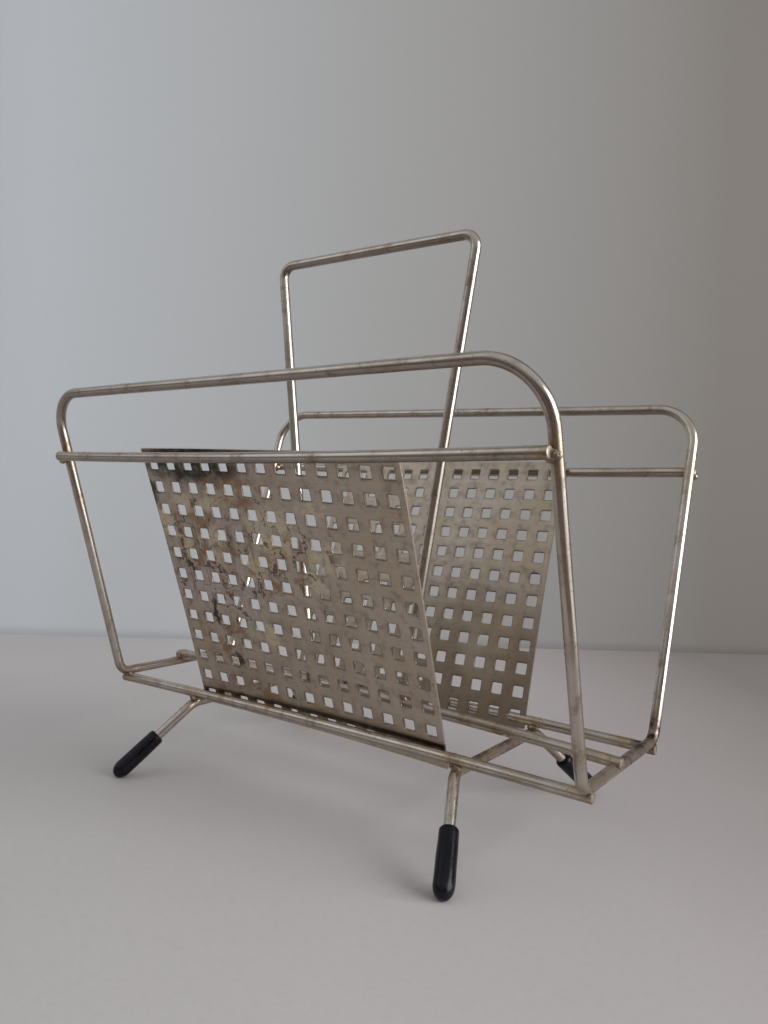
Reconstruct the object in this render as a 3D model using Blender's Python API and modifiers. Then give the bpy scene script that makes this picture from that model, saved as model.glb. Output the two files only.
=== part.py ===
"""Wire magazine rack with two perforated panels, a tall handle and four capped feet.

Metres, +Z up. X runs along the rails, Y from the near side to the far side.
The origin is the middle of the footprint, on the surface that the feet stand on.
"""
import math

import bmesh
import bpy
from mathutils import Matrix, Vector

# ---- driving dimensions -----------------------------------------------------------------
WIRE_D = 0.0054                # round wire of the frame, rails, handle and legs
WELD_GAP = 0.0002              # clearance left between welded wires
WIRE_STEP = WIRE_D + WELD_GAP  # distance between the axes of two crossing wires

CROSS_Z = 0.0485               # axis of the two cross pieces of the frame loop
FRAME_HALF_LENGTH = 0.150      # frame legs, at the bottom
FRAME_HALF_LENGTH_TOP = 0.151  # frame legs, at the top bar
FRAME_HALF_WIDTH = 0.0464      # sharp corner between leg and cross piece
LEAN_SLOPE = 0.2952            # outward run of a side hoop for each unit of rise
NEAR_TOP_Z = (0.2128, 0.2153)  # left and right end of the near top bar
FAR_TOP_Z = (0.2188, 0.2143)   # left and right end of the far top bar
NEAR_TOP_CORNER_R = (0.021, 0.027)  # left and right corner
FAR_TOP_CORNER_R = (0.021, 0.021)
BOTTOM_CORNER_R = 0.008

UPPER_RAIL_Z = 0.1788          # height at which the panels lean on the upper rails
NEAR_RAIL_X = (-0.151, 0.151)  # left and right end of the near upper rail
NEAR_RAIL_Z = (0.1785, 0.1808)
FAR_RAIL_X = (-0.153, 0.153)
FAR_RAIL_Z = (0.1800, 0.1802)
UPPER_RAIL_SAG = 0.0015        # the upper rails hang down a little at mid-span
BOTTOM_RAIL_Y = 0.0405
BOTTOM_RAIL_HALF_LENGTH = 0.153
BOTTOM_RAIL_RISE = 0.0016      # the bottom rails are bowed up at mid-span
CENTRE_RAIL_Y = (0.0016, -0.0076)  # left and right end: the centre rail lies slightly askew
CENTRE_RAIL_Z = (0.0516, 0.0484)   # it is let into the cross pieces, the right end deeper
CENTRE_RAIL_RISE = 0.0029
CENTRE_RAIL_RIGHT_X = 0.149        # its right end butts against the cross piece
CENTRE_RAIL_STEPS = 8

HANDLE_TOP_Z = 0.2960
HANDLE_HALF_TOP = 0.0664
HANDLE_HALF_FOOT = 0.0322
HANDLE_FOOT_Y = -0.003
HANDLE_CORNER_R = 0.007
HANDLE_FOOT_GAP = 0.0005

LEG_X = 0.088                  # each transverse leg wire crosses under the rails here
LEG_BEND_Y = 0.0415
LEG_SPLAY_X = 0.0176
LEG_SPLAY_Y = 0.0358
LEG_BEND_R = 0.010

CAP_D = 0.0094
CAP_LENGTH = 0.0308
CAP_BORE_D = WIRE_D + 0.0006
CAP_END_WALL = 0.0035
CAP_LIP_R = 0.0012
CAP_WORN_FLAT = 0.0004         # depth worn off the round tip where it stands

HOLE_PITCH = 0.0126
HOLE_SIZE = 0.0060
HOLE_COLUMNS = 13
HOLE_ROWS = 12
PANEL_T = 0.0011
PANEL_TOP_MARGIN = 0.0022      # extra strip above the first row of holes
PANEL_GAP = 0.0003
NEAR_PANEL_DROP = 0.0087       # bottom edge below the axis of the bottom rail, along the slope
NEAR_PANEL_X = -0.0019
NEAR_PANEL_SKEW = math.radians(-0.97)
FAR_PANEL_DROP = 0.0074
FAR_PANEL_X = 0.0020
FAR_PANEL_SKEW = math.radians(1.2)

WIRE_SIDES_RESOLUTION = 3      # 10 sides
CORNER_STEPS = 7
SCREW_STEPS = 16
COPE_SIDES = 32
COPE_LENGTH = 0.05

WIRE_R = WIRE_D / 2
CAP_R = CAP_D / 2
BOTTOM_RAIL_Z = CROSS_Z - WIRE_STEP
PANEL_HALF_LENGTH = HOLE_COLUMNS * HOLE_PITCH / 2


# ---- scene ------------------------------------------------------------------------------
for old in list(bpy.data.objects):
    bpy.data.objects.remove(old, do_unlink=True)

part_collection = bpy.data.collections.new("magazine_rack")
bpy.context.scene.collection.children.link(part_collection)
cutter_collection = bpy.data.collections.new("cutters")
bpy.context.scene.collection.children.link(cutter_collection)


def make_material(name, color, metallic, roughness):
    material = bpy.data.materials.new(name)
    material.use_nodes = True
    shader = material.node_tree.nodes["Principled BSDF"]
    shader.inputs["Base Color"].default_value = (*color, 1.0)
    shader.inputs["Metallic"].default_value = metallic
    shader.inputs["Roughness"].default_value = roughness
    return material


def store_cutter(cutter):
    """Keeps a Boolean's cutter out of the part's own collection."""
    for collection in list(cutter.users_collection):
        collection.objects.unlink(cutter)
    cutter_collection.objects.link(cutter)
    cutter.hide_render = True
    cutter.display_type = "WIRE"


def paint(obj, finish):
    obj.data.materials.append(make_material(obj.name, *finish))


WIRE_FINISH = ((0.30, 0.26, 0.20), 1.0, 0.30)
PANEL_FINISH = ((0.22, 0.19, 0.14), 1.0, 0.42)
CAP_FINISH = ((0.010, 0.010, 0.013), 0.0, 0.38)


# ---- wires ------------------------------------------------------------------------------
def rounded_corner(before, corner, after, radius):
    """Points of the arc that joins two straight runs meeting at a corner."""
    to_before = (before - corner).normalized()
    to_after = (after - corner).normalized()
    half_angle = to_before.angle(to_after) / 2
    setback = radius / math.tan(half_angle)
    centre = corner + (to_before + to_after).normalized() * (radius / math.sin(half_angle))
    start = corner + to_before * setback - centre
    axis = start.cross(corner + to_after * setback - centre).normalized()
    sweep = math.pi - 2 * half_angle
    points = []
    for step in range(CORNER_STEPS):
        turn = Matrix.Rotation(sweep * step / (CORNER_STEPS - 1), 3, axis)
        points.append(centre + turn @ start)
    return points


def rounded_path(corners, radii, closed=False):
    """A wire's path: its corners, each rounded by its own radius. Ends stay as they are."""
    points = []
    count = len(corners)
    for index, corner in enumerate(corners):
        is_end = not closed and index in (0, count - 1)
        if is_end:
            points.append(corner)
            continue
        before = corners[index - 1]
        after = corners[(index + 1) % count]
        points.extend(rounded_corner(before, corner, after, radii[index]))
    return points


def make_wire(name, points, closed=False):
    curve = bpy.data.curves.new(name, "CURVE")
    curve.dimensions = "3D"
    curve.bevel_depth = WIRE_R
    curve.bevel_resolution = WIRE_SIDES_RESOLUTION
    curve.use_fill_caps = True
    spline = curve.splines.new("POLY")
    spline.points.add(len(points) - 1)
    for spline_point, point in zip(spline.points, points):
        spline_point.co = (*point, 1.0)
    spline.use_cyclic_u = closed
    spline.use_smooth = True
    wire = bpy.data.objects.new(name, curve)
    part_collection.objects.link(wire)
    paint(wire, WIRE_FINISH)
    return wire


def hoop_y(z):
    """Distance of a side hoop's wire from the middle plane, at height z."""
    return FRAME_HALF_WIDTH + LEAN_SLOPE * (z - CROSS_Z)


def frame_corner(side_x, side_y, z):
    half_length = FRAME_HALF_LENGTH if z == CROSS_Z else FRAME_HALF_LENGTH_TOP
    return Vector((side_x * half_length, side_y * hoop_y(z), z))


def make_frame_loop():
    """One closed wire: up and over the near hoop, across, up and over the far hoop, across."""
    corners = [
        frame_corner(-1, -1, CROSS_Z),
        frame_corner(-1, -1, NEAR_TOP_Z[0]),
        frame_corner(1, -1, NEAR_TOP_Z[1]),
        frame_corner(1, -1, CROSS_Z),
        frame_corner(1, 1, CROSS_Z),
        frame_corner(1, 1, FAR_TOP_Z[1]),
        frame_corner(-1, 1, FAR_TOP_Z[0]),
        frame_corner(-1, 1, CROSS_Z),
    ]
    radii = [BOTTOM_CORNER_R, *NEAR_TOP_CORNER_R, BOTTOM_CORNER_R,
             BOTTOM_CORNER_R, *reversed(FAR_TOP_CORNER_R), BOTTOM_CORNER_R]
    return make_wire("frame_loop", rounded_path(corners, radii, closed=True), closed=True)


def bowed_line(start, end, rise, steps=6):
    """A straight wire that is bowed by a small rise at mid-span."""
    points = []
    for step in range(steps + 1):
        t = step / steps
        points.append(start.lerp(end, t) + Vector((0.0, 0.0, rise * 4 * t * (1 - t))))
    return points


def bottom_rail_z(x):
    u = x / BOTTOM_RAIL_HALF_LENGTH
    return BOTTOM_RAIL_Z + BOTTOM_RAIL_RISE * (1 - u * u)


def upper_rail_y(z):
    """Distance of an upper rail from the middle plane, outside the hoop at height z."""
    return hoop_y(z) + WIRE_STEP / math.cos(math.atan(LEAN_SLOPE))


UPPER_RAIL_Y = upper_rail_y(UPPER_RAIL_Z)


def make_rails():
    for name, side, x_ends, z_ends in (("near", -1, NEAR_RAIL_X, NEAR_RAIL_Z),
                                       ("far", 1, FAR_RAIL_X, FAR_RAIL_Z)):
        ends = [Vector((x, side * upper_rail_y(z), z)) for x, z in zip(x_ends, z_ends)]
        make_wire(f"{name}_upper_rail", bowed_line(*ends, -UPPER_RAIL_SAG))
        ends = [Vector((end * BOTTOM_RAIL_HALF_LENGTH, side * BOTTOM_RAIL_Y, BOTTOM_RAIL_Z))
                for end in (-1, 1)]
        make_wire(f"{name}_bottom_rail", bowed_line(*ends, BOTTOM_RAIL_RISE))
    make_centre_rail()


def centre_rail_point(x):
    t = (x / BOTTOM_RAIL_HALF_LENGTH + 1) / 2
    y = CENTRE_RAIL_Y[0] + (CENTRE_RAIL_Y[1] - CENTRE_RAIL_Y[0]) * t
    z = CENTRE_RAIL_Z[0] + (CENTRE_RAIL_Z[1] - CENTRE_RAIL_Z[0]) * t
    return Vector((x, y, z + CENTRE_RAIL_RISE * 4 * t * (1 - t)))


def solid_mesh(obj):
    """The closed mesh of a wire's curve, with its end caps joined on."""
    bpy.context.view_layer.update()
    evaluated = obj.evaluated_get(bpy.context.evaluated_depsgraph_get())
    mesh = bpy.data.meshes.new_from_object(evaluated)
    shape = bmesh.new()
    shape.from_mesh(mesh)
    bmesh.ops.remove_doubles(shape, verts=shape.verts, dist=0.000001)
    bmesh.ops.recalc_face_normals(shape, faces=shape.faces)
    shape.to_mesh(mesh)
    shape.free()
    return mesh


def make_cope_cutter(side_x):
    """A round bar a little thicker than a cross piece, in its place."""
    bpy.ops.mesh.primitive_cylinder_add(vertices=COPE_SIDES, radius=WIRE_R + WELD_GAP, depth=COPE_LENGTH,
                                        location=(side_x * FRAME_HALF_LENGTH, 0.0, CROSS_Z),
                                        rotation=(math.pi / 2, 0.0, 0.0))
    cutter = bpy.context.object
    cutter.name = f"cope_cutter_{'left' if side_x < 0 else 'right'}"
    store_cutter(cutter)
    return cutter


def make_centre_rail():
    """A bowed rail whose ends are coped to fit the cross pieces of the frame."""
    left_x = -BOTTOM_RAIL_HALF_LENGTH
    step_x = (CENTRE_RAIL_RIGHT_X - left_x) / CENTRE_RAIL_STEPS
    points = [centre_rail_point(left_x + step_x * step) for step in range(CENTRE_RAIL_STEPS + 1)]
    drawn = make_wire("centre_rail_line", points)
    rail = bpy.data.objects.new("centre_bottom_rail", solid_mesh(drawn))
    bpy.data.objects.remove(drawn, do_unlink=True)
    part_collection.objects.link(rail)
    for side_x in (-1, 1):
        cut = rail.modifiers.new("coped", "BOOLEAN")
        cut.operation = "DIFFERENCE"
        cut.solver = "EXACT"
        cut.object = make_cope_cutter(side_x)
    rail.data.materials.clear()
    paint(rail, WIRE_FINISH)


def make_handle():
    """A tapered loop, narrower at its feet, which stand on the centre rail."""
    rail_lift = WIRE_R + HANDLE_FOOT_GAP
    corners = [
        Vector((-HANDLE_HALF_FOOT, HANDLE_FOOT_Y, centre_rail_point(-HANDLE_HALF_FOOT).z + rail_lift)),
        Vector((-HANDLE_HALF_TOP, 0.0, HANDLE_TOP_Z)),
        Vector((HANDLE_HALF_TOP, 0.0, HANDLE_TOP_Z)),
        Vector((HANDLE_HALF_FOOT, HANDLE_FOOT_Y, centre_rail_point(HANDLE_HALF_FOOT).z + rail_lift)),
    ]
    radii = [0.0, HANDLE_CORNER_R, HANDLE_CORNER_R, 0.0]
    return make_wire("handle", rounded_path(corners, radii))


# ---- legs and caps ----------------------------------------------------------------------
LEG_Z = bottom_rail_z(LEG_X) - WIRE_STEP
CAP_TIP_Z = CAP_R - CAP_WORN_FLAT      # centre of the round tip


def foot_top(side_x, side_y):
    return Vector((side_x * LEG_X, side_y * LEG_BEND_Y, LEG_Z))


def foot_tip(side_x, side_y):
    return Vector((side_x * (LEG_X + LEG_SPLAY_X), side_y * (LEG_BEND_Y + LEG_SPLAY_Y), CAP_TIP_Z))


def wire_end(side_x, side_y):
    """End of the leg wire, inside its cap."""
    tip = foot_tip(side_x, side_y)
    upward = (foot_top(side_x, side_y) - tip).normalized()
    return tip + upward * (CAP_END_WALL - CAP_R + 2 * WELD_GAP)


def make_leg_wire(name, side_x):
    corners = [wire_end(side_x, -1), foot_top(side_x, -1), foot_top(side_x, 1), wire_end(side_x, 1)]
    return make_wire(name, rounded_path(corners, [0.0, LEG_BEND_R, LEG_BEND_R, 0.0]))


def cap_profile():
    """Half section of a cap, tip down: blind bore, rounded lip, outer side and round tip."""
    bore_r = CAP_BORE_D / 2
    bore_floor = CAP_END_WALL - CAP_R
    lip_z = CAP_LENGTH - CAP_R
    points = [(0.0, bore_floor), (bore_r, bore_floor), (bore_r, lip_z)]
    for step in range(4):
        angle = math.pi / 2 * (1 - step / 3)
        points.append((CAP_R - CAP_LIP_R + CAP_LIP_R * math.cos(angle),
                       lip_z - CAP_LIP_R + CAP_LIP_R * math.sin(angle)))
    for step in range(6):
        angle = -math.pi / 2 * step / 5
        points.append((CAP_R * math.cos(angle), CAP_R * math.sin(angle)))
    points[-1] = (0.0, -CAP_R)
    return points


def make_floor_cutter():
    bpy.ops.mesh.primitive_cube_add(size=1.0, location=(0.0, 0.0, -0.01))
    cutter = bpy.context.object
    cutter.name = "floor_cutter"
    cutter.scale = (0.4, 0.4, 0.02)
    store_cutter(cutter)
    return cutter


def make_cap_mesh():
    profile = cap_profile()
    mesh = bpy.data.meshes.new("foot_cap")
    edges = [(index, index + 1) for index in range(len(profile) - 1)]
    mesh.from_pydata([(x, 0.0, z) for x, z in profile], edges, [])
    return mesh


def make_cap(name, mesh, side_x, side_y, cutter):
    cap = bpy.data.objects.new(name, mesh.copy())
    part_collection.objects.link(cap)
    tip = foot_tip(side_x, side_y)
    upward = foot_top(side_x, side_y) - tip
    cap.location = tip
    cap.rotation_euler = upward.to_track_quat("Z", "Y").to_euler()
    screw = cap.modifiers.new("turned", "SCREW")
    screw.steps = SCREW_STEPS
    screw.render_steps = SCREW_STEPS
    screw.use_merge_vertices = True
    screw.merge_threshold = 0.00001
    screw.use_smooth_shade = True
    cut = cap.modifiers.new("worn_flat", "BOOLEAN")
    cut.operation = "DIFFERENCE"
    cut.solver = "EXACT"
    cut.object = cutter
    paint(cap, CAP_FINISH)
    return cap


def make_legs():
    cutter = make_floor_cutter()
    cap_mesh = make_cap_mesh()
    for end_name, side_x in (("left", -1), ("right", 1)):
        make_leg_wire(f"{end_name}_leg_wire", side_x)
        for side_name, side_y in (("near", -1), ("far", 1)):
            make_cap(f"{side_name}_{end_name}_foot_cap", cap_mesh, side_x, side_y, cutter)


# ---- perforated panels ------------------------------------------------------------------
def add_rectangle(curve, x_low, x_high, y_low, y_high):
    spline = curve.splines.new("POLY")
    spline.points.add(3)
    corners = ((x_low, y_low), (x_high, y_low), (x_high, y_high), (x_low, y_high))
    for spline_point, (x, y) in zip(spline.points, corners):
        spline_point.co = (x, y, 0.0, 1.0)
    spline.use_cyclic_u = True


def make_panel(name, side, x_offset, drop, skew):
    """A flat sheet that leans on the inner sides of an upper and a bottom rail.

    Its own X runs along the rack and its own Y up the slope, from the bottom edge.
    """
    rail_inset = WIRE_R + PANEL_GAP + PANEL_T / 2
    top_contact_z = UPPER_RAIL_Z - UPPER_RAIL_SAG / 2
    low_contact_z = BOTTOM_RAIL_Z + BOTTOM_RAIL_RISE
    panel_lean = math.atan2(UPPER_RAIL_Y - BOTTOM_RAIL_Y, top_contact_z - low_contact_z)
    sine, cosine = math.sin(panel_lean), math.cos(panel_lean)
    height = HOLE_ROWS * HOLE_PITCH + PANEL_TOP_MARGIN

    curve = bpy.data.curves.new(name, "CURVE")
    curve.dimensions = "2D"
    curve.fill_mode = "BOTH"
    curve.extrude = PANEL_T / 2
    add_rectangle(curve, -PANEL_HALF_LENGTH, PANEL_HALF_LENGTH, 0.0, height)
    for column in range(HOLE_COLUMNS):
        hole_x = (column - (HOLE_COLUMNS - 1) / 2) * HOLE_PITCH
        for row in range(HOLE_ROWS):
            hole_y = (row + 0.5) * HOLE_PITCH
            half = HOLE_SIZE / 2
            add_rectangle(curve, hole_x - half, hole_x + half, hole_y - half, hole_y + half)

    panel = bpy.data.objects.new(name, curve)
    part_collection.objects.link(panel)
    contact_y = BOTTOM_RAIL_Y - rail_inset * cosine
    contact_z = low_contact_z + rail_inset * sine
    panel.location = (x_offset, side * (contact_y - drop * sine), contact_z - drop * cosine)
    tilt = Matrix.Rotation(math.pi / 2 - side * panel_lean, 3, "X")
    panel.rotation_euler = (tilt @ Matrix.Rotation(skew, 3, "Z")).to_euler()
    paint(panel, PANEL_FINISH)
    return panel


make_frame_loop()
make_rails()
make_handle()
make_legs()
make_panel("near_panel", -1, NEAR_PANEL_X, NEAR_PANEL_DROP, NEAR_PANEL_SKEW)
make_panel("far_panel", 1, FAR_PANEL_X, FAR_PANEL_DROP, FAR_PANEL_SKEW)
bpy.context.view_layer.update()
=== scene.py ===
"""Looks of the wire magazine rack: fine wires, welds, punched panels, rubber caps and finishes.

Metres, +Z up, in the frame of the CAD model. X runs along the rails and Y from the near side
to the far side. Each CAD node is replaced by a finer piece in the same place. Welded wires are
sunk into each other and the panels are bowed, so some pieces differ in size from their nodes.
"""
import math

import bpy
from mathutils import Matrix, Vector, noise


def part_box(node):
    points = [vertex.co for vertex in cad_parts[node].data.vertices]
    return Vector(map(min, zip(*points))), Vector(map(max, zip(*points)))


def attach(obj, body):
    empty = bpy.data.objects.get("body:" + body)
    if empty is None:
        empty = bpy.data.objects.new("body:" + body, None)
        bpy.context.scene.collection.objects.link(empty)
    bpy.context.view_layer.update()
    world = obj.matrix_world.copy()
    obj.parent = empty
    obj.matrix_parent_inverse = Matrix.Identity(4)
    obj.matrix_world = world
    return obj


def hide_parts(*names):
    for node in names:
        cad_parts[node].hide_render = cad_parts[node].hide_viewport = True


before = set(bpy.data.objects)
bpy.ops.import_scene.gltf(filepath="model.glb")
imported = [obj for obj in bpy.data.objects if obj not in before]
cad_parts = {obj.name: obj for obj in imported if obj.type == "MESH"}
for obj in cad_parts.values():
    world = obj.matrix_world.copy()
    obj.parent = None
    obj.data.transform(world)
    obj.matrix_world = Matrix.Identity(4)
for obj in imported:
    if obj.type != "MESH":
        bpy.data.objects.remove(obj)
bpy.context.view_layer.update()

noise.seed_set(1)              # without this, noise_vector takes its offsets from the clock

# ---- dimensions shared with the CAD model -----------------------------------------------
WIRE_D = 0.0054
WELD_GAP = 0.0002
WIRE_STEP = WIRE_D + WELD_GAP

CROSS_Z = 0.0485
FRAME_HALF_LENGTH = 0.150
FRAME_HALF_LENGTH_TOP = 0.151
FRAME_HALF_WIDTH = 0.0464
LEAN_SLOPE = 0.2952
NEAR_TOP_Z = (0.2128, 0.2153)
FAR_TOP_Z = (0.2188, 0.2143)
NEAR_TOP_CORNER_R = (0.021, 0.027)
FAR_TOP_CORNER_R = (0.021, 0.021)
BOTTOM_CORNER_R = 0.008

UPPER_RAIL_Z = 0.1788
NEAR_RAIL_X = (-0.151, 0.151)
NEAR_RAIL_Z = (0.1785, 0.1808)
FAR_RAIL_X = (-0.153, 0.153)
FAR_RAIL_Z = (0.1800, 0.1802)
UPPER_RAIL_SAG = 0.0015
BOTTOM_RAIL_Y = 0.0405
BOTTOM_RAIL_HALF_LENGTH = 0.153
BOTTOM_RAIL_RISE = 0.0016
CENTRE_RAIL_Y = (0.0016, -0.0076)
CENTRE_RAIL_Z = (0.0516, 0.0484)
CENTRE_RAIL_RISE = 0.0029

HANDLE_TOP_Z = 0.2960
HANDLE_HALF_TOP = 0.0664
HANDLE_HALF_FOOT = 0.0322
HANDLE_FOOT_Y = -0.003
HANDLE_CORNER_R = 0.007

LEG_X = 0.088
LEG_BEND_Y = 0.0415
LEG_SPLAY_X = 0.0176
LEG_SPLAY_Y = 0.0358
LEG_BEND_R = 0.010

CAP_D = 0.0094
CAP_LENGTH = 0.0308
CAP_BORE_D = WIRE_D + 0.0006
CAP_END_WALL = 0.0035
CAP_WORN_FLAT = 0.0004

HOLE_PITCH = 0.0126
HOLE_SIZE = 0.0060
HOLE_COLUMNS = 13
HOLE_ROWS = 12
PANEL_T = 0.0011
PANEL_TOP_MARGIN = 0.0022
PANEL_GAP = 0.0003
NEAR_PANEL_DROP = 0.0087
NEAR_PANEL_X = -0.0019
NEAR_PANEL_SKEW = math.radians(-0.97)
FAR_PANEL_DROP = 0.0074
FAR_PANEL_X = 0.0020
FAR_PANEL_SKEW = math.radians(1.2)

WIRE_R = WIRE_D / 2
CAP_R = CAP_D / 2
BOTTOM_RAIL_Z = CROSS_Z - WIRE_STEP
PANEL_HALF_LENGTH = HOLE_COLUMNS * HOLE_PITCH / 2
PANEL_HEIGHT = HOLE_ROWS * HOLE_PITCH + PANEL_TOP_MARGIN
HOOP_LEAN = math.atan(LEAN_SLOPE)

# ---- detail of the visual pieces --------------------------------------------------------
WIRE_SIDES = 28
WIRE_STATION = 0.003           # longest step between two rings of a wire
CORNER_STEPS = 20
WIRE_WANDER = 0.00012          # how far a hand-bent wire strays from its drawn line
WIRE_WANDER_SCALE = 14.0
CUT_CHAMFER = ((0.0, 0.00045), (0.00012, 0.00014), (0.00045, 0.0))  # distance in, radius lost
WIRE_SWELL = 0.008             # share by which a wire's radius varies along it
WIRE_SWELL_SCALE = 90.0

# How far a piece's box may differ from its CAD node's. The centre rail needs 4.3 mm at its right
# end and the bowed far panel 2.1 mm, so this stops only a large slip.
FIT_TOLERANCE = 0.0045
PANEL_FIT_TOLERANCE = 0.0060

# Welded wires have sunk into each other. The CAD keeps them apart instead.
CROSS_SINK = (0.0012, 0.0027)  # left and right cross piece, down onto the bottom rails
HANDLE_SINK = 0.0005           # feet of the handle, into the centre rail
RAIL_END_DROOP = 0.0011        # the left end of the centre rail is bent down over its weld
RAIL_DROOP_LENGTH = 0.004

CAP_SIDES = 48
CAP_LUMP = 0.00012
CAP_LUMP_SCALE = 130.0
CAP_TIP_STRETCH = 0.0016       # a cap's tip is longer than half a ball
CAP_TAPER = 0.05               # share of its radius that a cap loses towards its lip
CAP_SHOULDER_R = 0.0016
CAP_INNER_LIP_R = 0.0005
CAP_BORE_RING_DEPTH = 0.004    # an extra ring in the bore, this far below the lip

HOLE_CORNER_R = 0.0006
HOLE_CORNER_STEPS = 4
EDGE_ROUND = 0.00012
HOLE_RIM = 0.0009              # width of the slightly pulled-in rim round each punched hole
RIM_DEPTH = 0.00007
# The rings round a hole: how far out from its edge, how far below the face, and how dirty.
HOLE_RINGS = (
    (0.0, EDGE_ROUND + RIM_DEPTH, 1.0),
    (EDGE_ROUND * 0.35, EDGE_ROUND * 0.35 + RIM_DEPTH, 1.0),
    (EDGE_ROUND, RIM_DEPTH, 0.9),
    (HOLE_RIM * 0.6, RIM_DEPTH * 0.4, 0.35),
    (HOLE_RIM, 0.0, 0.0),
)
PANEL_SHARP = math.radians(55)
SHEET_DEPTH_STRETCH = 20.0     # sets the patterns of a sheet's two faces apart
NEAR_PANEL_BOW = (0.00124, 0.00075)  # along the rack and up the slope, middle pushed inward
NEAR_PANEL_INSET = 0.0015            # stands off its rails
NEAR_PANEL_LEAN = math.radians(-0.43)
FAR_PANEL_BOW = (0.00227, 0.00170)
FAR_PANEL_INSET = 0.0003
FAR_PANEL_LEAN = math.radians(-1.9)
BOW_BALANCE = 0.4
BOW_SPAN_X = 6 * HOLE_PITCH
BOW_SPAN_Y = 5.5 * HOLE_PITCH
PANEL_RIPPLE = 0.00016
PANEL_RIPPLE_SCALE = 26.0

# ---- materials --------------------------------------------------------------------------
class Finish:
    """A material's node tree, with short calls for the nodes that the finishes share.

    A value passed to a call is a constant, or the output socket of an earlier call.
    """

    def __init__(self, name):
        self.material = bpy.data.materials.new(name)
        self.material.use_nodes = True
        self.tree = self.material.node_tree
        self.shader = self.tree.nodes["Principled BSDF"]

    def put(self, socket, value):
        if isinstance(value, bpy.types.NodeSocket):
            self.tree.links.new(value, socket)
        elif isinstance(value, tuple) and len(value) == 3 and socket.type == "RGBA":
            socket.default_value = (*value, 1.0)
        else:
            socket.default_value = value

    def add(self, kind, settings=None, **inputs):
        node = self.tree.nodes.new(kind)
        for key, value in (settings or {}).items():
            setattr(node, key, value)
        for key, value in inputs.items():
            self.put(node.inputs[key.replace("_", " ")], value)
        return node

    def math(self, operation, first, second=0.0, third=0.0):
        node = self.tree.nodes.new("ShaderNodeMath")
        node.operation = operation
        for socket, value in zip(node.inputs, (first, second, third)):
            self.put(socket, value)
        return node.outputs[0]

    def plus(self, first, second):
        return self.math("ADD", first, second)

    def minus(self, first, second):
        return self.math("SUBTRACT", first, second)

    def times(self, first, second):
        return self.math("MULTIPLY", first, second)

    def vector_math(self, operation, first, second=(0.0, 0.0, 0.0), third=(0.0, 0.0, 0.0)):
        node = self.tree.nodes.new("ShaderNodeVectorMath")
        node.operation = operation
        self.put(node.inputs[0], first)
        if operation != "LENGTH":
            self.put(node.inputs[1], second)
        if operation == "MULTIPLY_ADD":
            self.put(node.inputs[2], third)
        return node.outputs["Value" if operation in ("LENGTH", "DOT_PRODUCT") else "Vector"]

    def stretched(self, place, scales):
        return self.vector_math("MULTIPLY", place, scales)

    def warped(self, place, scale, detail, reach):
        """A place shifted by noise, which makes the outlines of the stains wander."""
        warp = self.add("ShaderNodeTexNoise", None, Vector=place, Scale=scale, Detail=detail,
                        Roughness=0.6)
        shift = self.vector_math("MULTIPLY_ADD", warp.outputs["Color"], (reach, reach, 0.0),
                                 (-reach / 2, -reach / 2, 0.0))
        return self.vector_math("ADD", place, shift)

    def place(self, name):
        """A vector that the mesh stores at each of its points or corners."""
        node = self.add("ShaderNodeAttribute", {"attribute_name": name})
        return node.outputs["Vector"]

    def amount(self, name):
        node = self.add("ShaderNodeAttribute", {"attribute_name": name})
        return node.outputs["Fac"]

    def cloud(self, place, scale, detail=3.0, roughness=0.55, distortion=0.0, offset=0.0):
        moved = self.vector_math("ADD", place, (offset, offset * 0.7, offset * 1.3))
        node = self.add("ShaderNodeTexNoise", None, Vector=moved, Scale=scale, Detail=detail,
                        Roughness=roughness, Distortion=distortion)
        return node.outputs["Fac"]

    def between(self, value, low, high, to_low=0.0, to_high=1.0, smooth=True):
        kind = "SMOOTHSTEP" if smooth else "LINEAR"
        node = self.add("ShaderNodeMapRange", {"interpolation_type": kind})
        for key, number in (("Value", value), ("From Min", low), ("From Max", high),
                            ("To Min", to_low), ("To Max", to_high)):
            self.put(node.inputs[key], number)
        return node.outputs["Result"]

    def blend(self, amount, first, second, mode="MIX"):
        node = self.tree.nodes.new("ShaderNodeMix")
        node.data_type = "RGBA"
        node.blend_type = mode
        node.clamp_factor = True
        self.put(node.inputs["Factor"], amount)
        self.put(node.inputs[6], first)
        self.put(node.inputs[7], second)
        return node.outputs[2]

    def ramp(self, value, stops):
        node = self.tree.nodes.new("ShaderNodeValToRGB")
        elements = node.color_ramp.elements
        elements[0].position = stops[0][0]
        elements[0].color = (*stops[0][1], 1.0)
        elements[1].position = stops[-1][0]
        elements[1].color = (*stops[-1][1], 1.0)
        for position, color in stops[1:-1]:
            elements.new(position).color = (*color, 1.0)
        self.put(node.inputs["Fac"], value)
        return node.outputs["Color"]

    def bump(self, height, distance, strength=1.0, normal=None):
        node = self.add("ShaderNodeBump", None, Height=height, Distance=distance, Strength=strength)
        if normal is not None:
            self.put(node.inputs["Normal"], normal)
        return node.outputs["Normal"]

    def finish(self, color, metallic, roughness, normal=None, **others):
        self.put(self.shader.inputs["Base Color"], color)
        self.put(self.shader.inputs["Metallic"], metallic)
        self.put(self.shader.inputs["Roughness"], roughness)
        if normal is not None:
            self.put(self.shader.inputs["Normal"], normal)
        for key, value in others.items():
            self.put(self.shader.inputs[key.replace("_", " ")], value)
        return self.material


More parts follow.
